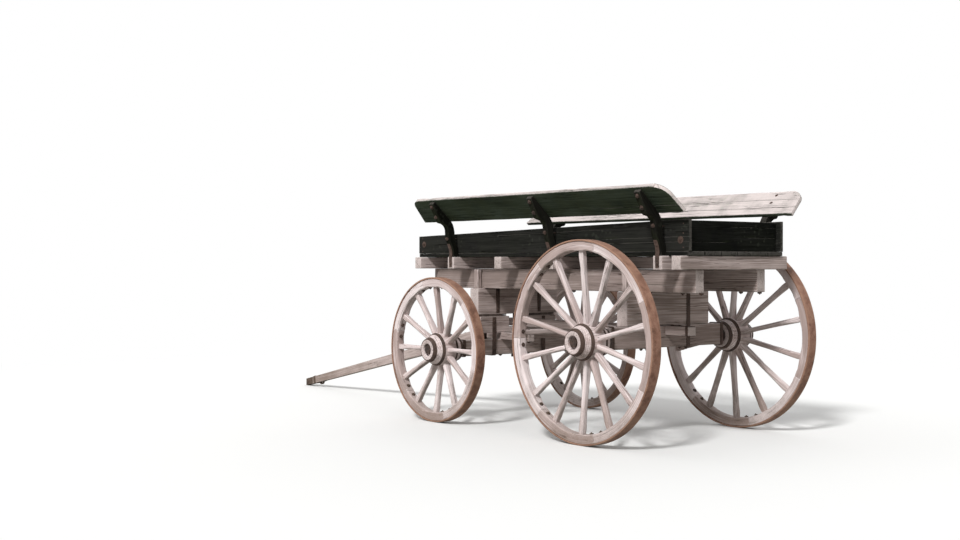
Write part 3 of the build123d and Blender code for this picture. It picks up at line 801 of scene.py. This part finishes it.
wheels = {"rear": {"x": rearX, "radius": 0.67, "spokes": 14},
          "front": {"x": frontX, "radius": 0.54, "spokes": 12}}
rim = {"y": 0.76, "tyreWidth": 0.08, "tyreThick": 0.012, "felloeWidth": 0.068, "felloeDepth": 0.06,
       "gap": 0.0005, "joint": 0.002, "boltFromJoint": 0.045}
nave = {"y": 0.712, "inner": -0.14, "outer": 0.135, "recess": 0.032, "outside": 17, "segments": 72,
        "profile": ((-0.14, 0.083), (-0.137, 0.086), (-0.11, 0.0964), (-0.105, 0.0978), (-0.1, 0.1005),
                    (-0.06, 0.1165), (-0.054, 0.119), (-0.048, 0.12), (0.0, 0.12), (0.048, 0.12),
                    (0.054, 0.1185), (0.07, 0.1095), (0.084, 0.1018), (0.1, 0.0936), (0.118, 0.0842),
                    (0.131, 0.0775), (0.135, 0.074), (0.135, 0.05), (0.1335, 0.047), (0.131, 0.046),
                    (0.103, 0.046), (0.103, 0.027), (-0.14, 0.027)),
        "hoops": ((-0.138, -0.112), (-0.074, -0.052), (0.05, 0.07), (0.108, 0.134))}
spoke = {"inner": 0.112, "dishFrom": 0.1205, "width": (0.032, 0.01), "depth": (0.06, -0.022), "tenon": 0.004}
tyreRing = makeRing(np.linspace(-0.9, 0.9, 7), (0.5,), arc=3)
felloeRing = makeRing((-0.7, -0.2, 0.35, 0.8), (0.15, 0.7), (0.05,), (0.42,))
spokeRing = makeRing((-0.5, 0.05, 0.5), (0.2, 0.7), arc=5)


def aroundHub(wheel, radius, angles):
    # Places and outward directions round a wheel at angles from straight up, turning towards +X
    out = columns(np.sin(angles), 0, np.cos(angles))
    return (wheel["x"], rim["y"], wheel["radius"]) + radius * out, out


def felloeOuter(wheel):
    return wheel["radius"] - rim["tyreThick"] - rim["gap"]


def makeTyre(rng, wheel):
    centre, out = aroundHub(wheel, wheel["radius"] - rim["tyreThick"] / 2, np.arange(180) / 180 * 2 * np.pi)
    return [carrySection(rng, centre, yAxis, out, (rim["tyreWidth"] / 2, rim["tyreThick"] / 2),
                         (0.0045, 0.0045, 0.0015, 0.0015), tyreRing, closed=True, wobble=0.0005, checkCount=0,
                         nicks=10, nickDepth=0.002)]


def makeFelloes(rng, wheel):
    # Sawn arcs from joint to joint, each with its inner corners hollowed between the spokes
    count, outer = wheel["spokes"] // 2, felloeOuter(wheel)
    step = 2 * np.pi / count
    half, bay = step / 2 - rim["joint"] / 2 / outer, step / 2 * outer
    angle = (stations(step * outer, 0.014, 0.003) * 2 - 1) * half
    fromSpoke = np.abs((angle / (step / 2) + 1) % 1 - 0.5) * bay
    hollow = np.clip(1 - ((fromSpoke - bay / 2) / (bay * 0.36)) ** 2, 0, 1)
    hollow = np.sqrt(hollow * np.where(np.abs(angle) > half - 0.05, 0.3, 1))
    solids = []
    for number in range(count):
        centre, out = aroundHub(wheel, outer - rim["felloeDepth"] / 2, angle + np.pi + (number + 0.75) * step)
        deep = hollow * (0.012 if number % 3 else 0.01)
        solids.append(carrySection(rng, centre, yAxis, out, (rim["felloeWidth"] / 2, rim["felloeDepth"] / 2),
                                   columns(0, 0, deep, deep) + 0.003, felloeRing, checkDepth=0.005, nicks=2,
                                   nickDepth=0.004, endRound=0.002, wobble=0.001))
    return solids


def makeSpokes(rng, wheel):
    # Slim in the middle, necked under the felloe, and leaning out so that the wheel is dished
    outer = felloeOuter(wheel) - rim["felloeDepth"] + 0.004
    t = np.concatenate([[0, 0.02], np.linspace(0.06, 0.94, 20), [0.975, 0.99, 1.0]])
    reach = spoke["inner"] + (outer - spoke["inner"]) * t
    belly, neck = np.sin(np.pi * t), spoke["tenon"] * np.clip((t - 0.93) / 0.05, 0, 1)
    width = spoke["width"][0] + spoke["width"][1] * t - 0.003 * belly - neck
    depth = spoke["depth"][0] + spoke["depth"][1] * t - 0.002 * belly - neck
    rounding = np.clip(0.25 + 0.65 * np.sin(np.pi * np.clip(t * 1.15, 0, 1)) ** 0.5, 0.2, 0.9)
    radii = np.minimum(width, depth)[:, None] / 2 * rounding[:, None]
    lean = (rim["y"] - nave["y"]) * (reach - spoke["dishFrom"]) / (outer - spoke["dishFrom"])
    solids = []
    for angle in np.arange(wheel["spokes"]) / wheel["spokes"] * 2 * np.pi:
        centre = aroundHub(wheel, reach[:, None], angle)[0]
        centre[:, 1] = nave["y"] + lean
        solids.append(carrySection(rng, centre, (math.cos(angle), 0, -math.sin(angle)), yAxis,
                                   columns(width / 2, depth / 2), radii, spokeRing, checkCount=0, nicks=2,
                                   nickDepth=0.003, endRound=0.002, wobble=0.0012))
    return solids


def onAxle(solid, wheel):
    # Lays a solid turned about Z along the wheel's axle, its Z pointing outwards and its pith on the axle
    x, y, z = solid["points"].T
    placed = columns(wheel["x"] + x, nave["y"] + z, wheel["radius"] + y)
    grain = columns(z + wheel["radius"] * 7, x, y)
    return makeSolid(placed, solid["faces"], solid["wear"], grain, end=solid["end"])


def makeNave(wheel):
    profile = np.array(nave["profile"])
    y = profile[:, 0]
    sawn = (y >= nave["outer"] - 0.001) | (y <= nave["inner"]) | (y == nave["outer"] - nave["recess"])
    end = np.repeat(sawn.astype(float), nave["segments"])
    return [onAxle(turnProfile(profile[:, ::-1], nave["segments"], 0.25, loop=True, end=end), wheel)]


def makeHoops(wheel):
    # Each hoop follows the nave's taper between its two edges and stands 3.5 mm proud of it
    outline, solids = np.array(nave["profile"][:nave["outside"]]).T, []
    for first, last in nave["hoops"]:
        y = np.array([first, first + 0.001, last - 0.001, last])
        under = np.interp(np.clip(y, -0.136, 0.13), *outline)
        top = under + (0.0025, 0.0035, 0.0035, 0.0025)
        loop = np.concatenate([columns(top, y), columns(under - 0.004, y)[::-1]])
        solids.append(onAxle(turnProfile(loop, nave["segments"], 0.4, loop=True), wheel))
    return solids


def makeRimBolts(rng, wheel):
    # A square nut and a bolt's end on the felloes' inner side, two to each felloe near its joints
    count, inner = wheel["spokes"] // 2, felloeOuter(wheel) - rim["felloeDepth"]
    joints, offset = np.pi + (np.arange(count) + 0.25) * 2 * np.pi / count, rim["boltFromJoint"] / inner
    spots, out = aroundHub(wheel, inner + 0.001, np.concatenate([joints + offset, joints - offset]))
    return [placeCopies(nut(0.02, 0.009), spots, -out, rng.uniform(0, math.pi, 2 * count)),
            placeCopies(rod(0.0048, 0.015, 10), spots, -out),
            placeCopies(washer(0.006, 0.015, 0.002, 16), spots, -out)]


for end, wheel in wheels.items():
    for side, sign in wagonSides.items():
        name = f"{end}_{side}"
        rng = np.random.default_rng(abs(int(wheel["x"] * 100)) + sign)
        parts = {
            "tyre": (makeTyre(rng, wheel), "tyreRust", f"{name}_tyre"),
            "felloes": (makeFelloes(rng, wheel), "wheelTimber", f"{name}_felloes"),
            "spokes": (makeSpokes(rng, wheel), "wheelTimber", f"{name}_nave_and_spokes"),
            "nave": (makeNave(wheel), "wheelTimber", f"{name}_nave_and_spokes"),
            "hoops": (makeHoops(wheel), "fittingRust"),
            "rimBolts": (makeRimBolts(rng, wheel), "fittingRust"),
        }
        for part, (solids, look, *replaced) in parts.items():
            makePiece(f"{name}.{part}", onSide(solids, sign), f"{name}_wheel", look, *replaced)
print("wheels ready")

# Ironwork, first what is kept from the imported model

keptIrons = {"fittingRust": ("rear_axle_irons", "front_axle_irons", "kingpin", "tongue_pin", "tongue_cap"),
             "rubbedIron": ("upper_wear_plate", "lower_wear_plate")}
for look, nodeNames in keptIrons.items():
    for nodeName in nodeNames:
        dressNode(nodeName, makeRust(f"{look}.{nodeName}", looks[look], True))

rng = np.random.default_rng(5)
carriageHead, squareNut, nailHead = dome(0.0115, 0.0045), nut(0.02, 0.009), dome(0.0048, 0.0018, 8)
plainWasher, boltEnd = washer(0.0065, 0.0155, 0.0022), rod(0.0055, 0.016)


def heads(spots, axes):
    return placeCopies(carriageHead, spots, axes)


def fitNuts(spots, axes):
    # Washer, square nut and bolt's end at each spot, the nuts turned at random
    spots = np.atleast_2d(np.asarray(spots, float))
    axes = np.broadcast_to(unit(axes), spots.shape)
    spins = rng.uniform(0, math.pi, len(spots))
    return [placeCopies(plainWasher, spots, axes), placeCopies(squareNut, spots + axes * 0.0018, axes, spins),
            placeCopies(boltEnd, spots, axes)]


def outAt(z, line):
    # How far out a strouter's edge lies at a height
    return np.interp(z, line[:, 1], line[:, 0])


# Flare board bolts: round heads above, nuts on the strouters' backs
sunk = 0.0006
knee = np.array(strouter["outerBends"][-1])
kneeAlong, kneeBelow = (knee - flareLow) @ flareSlope, (flareLow - knee) @ flareNormal
tops, backs = [], []
for x in bed["strouters"]:
    for s in flare["bolts"]:
        below = np.interp(s, (kneeAlong, strouter["seat"][1]), (kneeBelow, strouter["tip"]))
        tops.append((x, *underFlare(s, sunk - flare["thick"])))
        backs.append((x, *underFlare(s, below - sunk)))
backOut = (0, (strouterTip - knee)[1], (knee - strouterTip)[0])
makePiece("flareBolts", bothSides([heads(tops, (0, *flareNormal)), *fitNuts(backs, backOut)]))

# Foot straps: from each beam's end up over the joggle and along the strouter's outer curve
footStrap = {"size": (0.034, 0.005), "clear": 0.0004, "rises": (0.022, 0.1), "bolts": (-0.05, 0.07),
             "lower": ((0, -0.078), (0, -0.04), (0, -0.004), (-0.001, 0.004), (-0.003, 0.012))}
halfThick = footStrap["size"][1] / 2
lift = halfThick + footStrap["clear"]
z = floorBottom + np.linspace(*footStrap["rises"], 8)
strapLine = np.concatenate([np.array(footStrap["lower"]) + (bed["beamHalf"] + lift, floorBottom),
                            columns(outAt(z, strouterOuter) + lift, z)])
z = floorBottom + np.array(footStrap["bolts"])
solids = []
for x in bed["strouters"]:
    solids += [bendStrap(rng, columns(x, *strapLine.T), xAxis, *footStrap["size"]),
               heads(columns(x, outAt(z, strapLine) + halfThick - 0.0008, z), yAxis)]
makePiece("footStraps", bothSides(solids))

# Stay bolts: through the side board's top and across the gap to the strouter
stay = {"below": 0.037, "headY": 0.4325, "rodY": 0.452, "rodFrom": 0.45}
solids = []
for x in bed["strouters"]:
    z = sideTopAt(x) - stay["below"]
    stayRod = rod(0.0055, outAt(z, strouterInner) - stay["rodFrom"])
    solids += [heads((x, stay["headY"], z), -yAxis), placeCopies(stayRod, (x, stay["rodY"], z), yAxis),
               *fitNuts((x, outAt(z, strouterOuter) - 0.0012, z), yAxis)]
makePiece("stayBolts", bothSides(solids))

# Tie rods clamp the side boards against the end boards
tie = {"fromEnd": 0.0215, "above": 0.072, "reach": 0.468, "washerY": 0.4595, "nutY": 0.4612}
x, z = np.array(bed["ends"]) + (tie["fromEnd"], -tie["fromEnd"]), floorTop + tie["above"]
outside = [placeCopies(washer(0.0065, 0.024, 0.003, 28), columns(x, tie["washerY"], z), yAxis),
           *fitNuts(columns(x, tie["nutY"], z), yAxis)]
tieRod = placeCopies(rod(0.006, 2 * tie["reach"]), columns(x, -tie["reach"], z), yAxis)
makePiece("tieRods", [tieRod, *bothSides(outside)])

# Sill bolts through floor, beam and sill
sillBolt = {"headY": 0.275, "nutY": 0.285}
makePiece("sillBolts", bothSides([
    heads(columns(bed["beams"], sillBolt["headY"], floorTop - 0.0008), zAxis),
    *fitNuts(columns(bed["beams"], sillBolt["nutY"], sillBottom + sunk), -zAxis)]))

# Two nails where each plank crosses a beam; more along the side boards' ends and beside the strouters
nail = {"offset": 0.052, "slant": 0.3, "stray": 0.006, "endShares": (0.12, 0.56, 0.86),
        "besideStrouter": 0.036, "rises": (0.032, 0.112), "out": 0.0135}
spots = np.array([(x + offset * nail["slant"], y + offset, floorTop - sunk) for x in bed["beams"]
                  for y in planks for offset in (-nail["offset"], nail["offset"])])
spots[:, :2] += rng.uniform(-nail["stray"], nail["stray"], (len(spots), 2))
edge = [(x - 0.001, floorTop + (top - floorTop) * share) for x, top in zip(bed["ends"], bed["sideTop"])
        for share in nail["endShares"]]
edge += [(x + nail["besideStrouter"], floorTop + rise) for x in bed["strouters"] for rise in nail["rises"]]
x, z = np.array(edge).T
outside = placeCopies(nailHead, columns(x, bed["sideY"] + nail["out"], z), yAxis)
makePiece("boardNails", [placeCopies(nailHead, spots, zAxis), *bothSides([outside])])


def bandPair(x, y, low, high, width):
    # A band on each side of the wagon round a cross timber
    half, z = (high - low) / 2 + 0.0005, (low + high) / 2
    return [wrapBand(rng, (x, y, z), xAxis, zAxis, 0.0505, half, width) for y in (y, -y)]


def strapPair(x, y, half, width, headOut, headZ):
    # A strap on each side of the wagon, up one flank of a timber, across it and down the other, with bolt
    # heads; half is its outline to the middle, each place out from x and up
    solids = []
    for y in (y, -y):
        legs = [(x - out, y, z) for out, z in half] + [(x + out, y, z) for out, z in half[-2::-1]]
        solids.append(bendStrap(rng, legs, yAxis, width))
        solids += [heads(columns(x + way * headOut, y, headZ), way * xAxis) for way in (-1, 1)]
    return solids


# Clips bind bolsters, axle beds and hounds
clips = {
    "clip": {"y": 0.19, "width": 0.034}, "collar": {"y": 0.534, "width": 0.024}, "legX": 0.03, "nutZ": 0.6045,
    "over": {"y": 0.21, "width": 0.034, "headOut": 0.0552, "headZ": (0.83, 0.945),
             "half": ((0.053, 0.802), (0.053, 0.89), (0.053, 0.987), (0.0505, 0.9925), (0.045, 0.995),
                      (0, 0.995))},
    "under": {"y": 0.25, "width": 0.036, "headOut": 0.0602, "headZ": (0.53, 0.735),
              "half": ((0.058, 0.77), (0.058, 0.7), (0.058, 0.6), (0.058, 0.49), (0.0555, 0.4815),
                       (0.049, 0.4772), (0, 0.4772))},
}
low, high = gear["rearAxleZ"]
legX, legY = clips["legX"], clips["clip"]["y"]
legs = [(rearX + x, y, clips["nutZ"]) for x in (-legX, legX) for y in (legY, -legY)]
makePiece("bolsterClips", [*bandPair(rearX, low=low, high=sillBottom, **clips["clip"]),
                           *bandPair(rearX, low=low, high=high, **clips["collar"]), *fitNuts(legs, -zAxis),
                           *strapPair(frontX, **clips["over"])])

# Reach irons: rings round the trailer pin's hole, a band at the tail, a wear strap, the hounds' bolt, brackets
reach = {"holeX": -2.22, "bandX": -2.264, "z": 0.727, "topZ": 0.7568, "underZ": 0.6972,
         "bandSize": (0.0354, 0.0304, 0.022, 0.004), "strapX": (-2.185, -2.08), "strapZ": 0.7593,
         "strapSize": (0.045, 0.0045), "strapHeads": (-2.165, -2.1), "strapHeadZ": 0.7612,
         "bolt": (-1.425, 0.085, 0.722), "nutY": 0.0812, "nutAcross": (0.4, 1, 0),
         "bracketY": 0.292, "bracketWidth": 0.036, "footHeads": (-1.865, -1.92), "footHeadZ": 0.7518,
         "legHeadX": -1.9653, "legHeads": (0.795, 0.84),
         "bracketX": (-1.84, -1.9, -1.955, -1.963, -1.9668, -1.9672, -1.9672, -1.9672),
         "bracketZ": (0.7499, 0.7499, 0.7499, 0.7512, 0.757, 0.77, 0.81, 0.86)}
holeRing, (x, y, z) = washer(0.0125, 0.03, 0.004, 32), reach["bolt"]
solids = [placeCopies(holeRing, (reach["holeX"], 0, reach["topZ"]), zAxis),
          placeCopies(holeRing, (reach["holeX"], 0, reach["underZ"]), -zAxis),
          wrapBand(rng, (reach["bandX"], 0, reach["z"]), yAxis, zAxis, *reach["bandSize"]),
          bendStrap(rng, columns(np.linspace(*reach["strapX"], 5), 0, reach["strapZ"]), yAxis,
                    *reach["strapSize"]),
          heads(columns(reach["strapHeads"], 0, reach["strapHeadZ"]), zAxis),
          placeCopies(rod(0.0055, 2 * y), (x, -y, z), yAxis),
          *bothSides(fitNuts((x, reach["nutY"], z), reach["nutAcross"]))]
y = reach["bracketY"]
bracketLine = columns(reach["bracketX"], y, reach["bracketZ"])
solids += bothSides([bendStrap(rng, bracketLine, yAxis, reach["bracketWidth"]),
                     heads(columns(reach["footHeads"], y, reach["footHeadZ"]), zAxis),
                     heads(columns(reach["legHeadX"], y, reach["legHeads"]), xAxis)])
makePiece("reachIrons", solids)

# Front gear clips, hound bands, pin washers and sway bar bolts
frontIron = {"nutY": 0.143, "nutZ": 0.4806, "hound": (-0.026, 0.0835, 0.625), "houndAcross": (0.152, 1, 0),
             "bandSize": (0.0276, 0.0254, 0.03, 0.004), "pin": (-0.09, 0.1212, 0.625), "swayY": 0.2065,
             "swayTop": 0.6875, "swayNutZ": 0.6006}
low, high = gear["frontAxleZ"]
solids = [*strapPair(frontX, **clips["under"]), *bandPair(frontX, low=low, high=high, **clips["collar"]),
          *fitNuts(columns(frontX, (frontIron["nutY"], -frontIron["nutY"]), frontIron["nutZ"]), -zAxis)]
sway = (gear["swayX"], frontIron["swayY"])
solids += bothSides([
    wrapBand(rng, frontIron["hound"], frontIron["houndAcross"], zAxis, *frontIron["bandSize"]),
    placeCopies(washer(0.0125, 0.024, 0.0105, 28), frontIron["pin"], yAxis),
    placeCopies(dome(0.0115, 0.003), (*sway, frontIron["swayTop"]), zAxis),
    *fitNuts((*sway, frontIron["swayNutZ"]), -zAxis)])
makePiece("frontGearIrons", solids, "front_gear")

# Tongue irons follow the pole's slope and taper
pole = {"pinX": -0.09, "pinZ": 0.625, "slope": -0.21254, "x": (-0.16, 2.7), "halfHeight": (0.045, 0.032),
        "halfWidth": (0.044, 0.027), "holeX": 0.17, "ringLift": -0.0004,
        "bands": (-0.138, 0.06, 0.3, 2.545), "strapX": (0.325, 0.52), "strapLift": 0.0026,
        "strapHeads": (0.36, 0.485), "headLift": 0.0045, "capHeads": (2.61, 2.665),
        "hookX": (2.39, 2.41, 2.43, 2.437, 2.445, 2.455, 2.466, 2.475, 2.481, 2.49, 2.505, 2.52),
        "hookLift": (0.0028, 0.0028, 0.004, 0.01, 0.018, 0.0235, 0.0235, 0.017, 0.008, 0.0035, 0.0028, 0.0028)}
poleUp = unit((-pole["slope"], 0, 1))


def poleAt(x):
    # Middle height, half height square to the pole and half width at a station
    tall, wide = (np.interp(x, pole["x"], pole[key]) for key in ("halfHeight", "halfWidth"))
    return pole["pinZ"] + pole["slope"] * (np.asarray(x) - pole["pinX"]), tall * poleUp[2], wide


def onPole(x, lift, way=1):
    # Points on the pole's top, or on its underside for way -1, each lifted off it
    z, tall, _ = poleAt(x)
    return columns(x, 0, z) + way * np.outer(tall + lift, poleUp)


def onFlanks(solid, x, sunk):
    z, _, wide = poleAt(x)
    return bothSides([placeCopies(solid, columns(x, wide - sunk, z), yAxis)])


solids = []
for x in pole["bands"]:
    z, tall, wide = poleAt(x)
    solids.append(wrapBand(rng, (x, 0, z), yAxis, poleUp, wide + 0.0005, tall + 0.0008, 0.03, 0.004, 0.006))
top, under = (onPole(pole["holeX"], pole["ringLift"], way) for way in (1, -1))
solids += [placeCopies(washer(0.0125, 0.034, 0.0045, 32), top, poleUp),
           placeCopies(washer(0.0125, 0.028, 0.004, 32), under, -poleUp),
           *onFlanks(washer(0.014, 0.027, 0.004, 28), pole["pinX"], 0.0006),
           bendStrap(rng, onPole(np.linspace(*pole["strapX"], 6), pole["strapLift"]), yAxis),
           heads(onPole(pole["strapHeads"], pole["headLift"]), poleUp),
           bendStrap(rng, onPole(pole["hookX"], pole["hookLift"], -1), yAxis, 0.026, 0.0055),
           *onFlanks(dome(0.008, 0.0035), pole["capHeads"], 0.0004)]
makePiece("tongueIrons", solids, "tongue")
print("ironwork ready")

# Floor, light and camera

view = {"position": (-8.243, 6.527, 1.186), "yaw": 51.68, "pitch": -0.31, "focal": 1300 / 960 * 36,
        "clipEnd": 300, "floorHalf": 60, "paleNear": 3.2, "paleFar": 7.0}


def makeFloorMaterial():
    # A pale matt floor under the wagon that turns to plain white farther out, so that no horizon shows;
    # it throws back only as much light as grass would
    material, tree, shader = newMaterial("paleFloor")
    camera, glossy, diffuse = addNode(tree, "ShaderNodeLightPath",
                                      out=("Is Camera Ray", "Is Glossy Ray", "Is Diffuse Ray"))
    away = vectorMath("LENGTH", addNode(tree, "ShaderNodeTexCoord", out="Object"))
    amount = smooth(away, view["paleNear"], view["paleFar"]) * camera.math("MAXIMUM", glossy)
    feed(shader, {"Base Color": blend(diffuse, (0.84, 0.84, 0.83), (0.36, 0.36, 0.33)), "Roughness": 0.9,
                  "Specular IOR Level": 0.1})
    white = addNode(tree, "ShaderNodeEmission", {"Color": (1, 1, 1), "Strength": 1.0})
    mixed = addNode(tree, "ShaderNodeMixShader", {0: amount, 1: Value(shader.outputs[0]), 2: white})
    feed(tree.nodes["Material Output"], {"Surface": mixed})
    return material


far = view["floorHalf"]
floorMesh = bpy.data.meshes.new("floor")
floorMesh.from_pydata([(-far, -far, 0), (far, -far, 0), (far, far, 0), (-far, far, 0)], [], [(0, 1, 2, 3)])
floorMesh.materials.append(makeFloorMaterial())
floor = addObject("floor", floorMesh)

world = bpy.data.worlds.new("studio")
bpy.context.scene.world = world
world.use_nodes = True
camera, glossy, through = addNode(world.node_tree, "ShaderNodeLightPath",
                                  out=("Is Camera Ray", "Is Glossy Ray", "Is Transmission Ray"))
seen = camera.math("MAXIMUM", glossy).math("MAXIMUM", through)
feed(world.node_tree.nodes["Background"], {"Color": (1, 1, 1), "Strength": smooth(seen, 0.0, 1.0, 0.5, 1.0)})

# Broad soft lamps far off: strength 3.14 at full face would show a colour as it is written
lamps = {
    "keyLamp": {"from": (-0.45, 1.0, 0.95), "strength": 2.75, "softness": 10},
    "fillLamp": {"from": (0.6, -0.9, 0.75), "strength": 0.55, "softness": 60},
    "frontLamp": {"from": (1.0, 0.7, 0.5), "strength": 0.35, "softness": 60},
}
for name, lamp in lamps.items():
    light = bpy.data.lights.new(name, "SUN")
    light.angle, light.energy = math.radians(lamp["softness"]), lamp["strength"]
    addObject(name, light).rotation_euler = Vector(lamp["from"]).to_track_quat("Z", "Y").to_euler()

lens = bpy.data.cameras.new("photoView")
lens.lens, lens.sensor_width, lens.clip_end = view["focal"], 36, view["clipEnd"]
photoView = addObject("photoView", lens)
photoView.location = view["position"]
yaw, pitch = math.radians(view["yaw"]), math.radians(view["pitch"])
heading = Vector((math.sin(yaw) * math.cos(pitch), -math.cos(yaw) * math.cos(pitch), math.sin(pitch)))
photoView.rotation_euler = heading.to_track_quat("-Z", "Y").to_euler()
bpy.context.scene.camera = photoView
bpy.context.scene.view_settings.view_transform = "Standard"
print("stage ready")
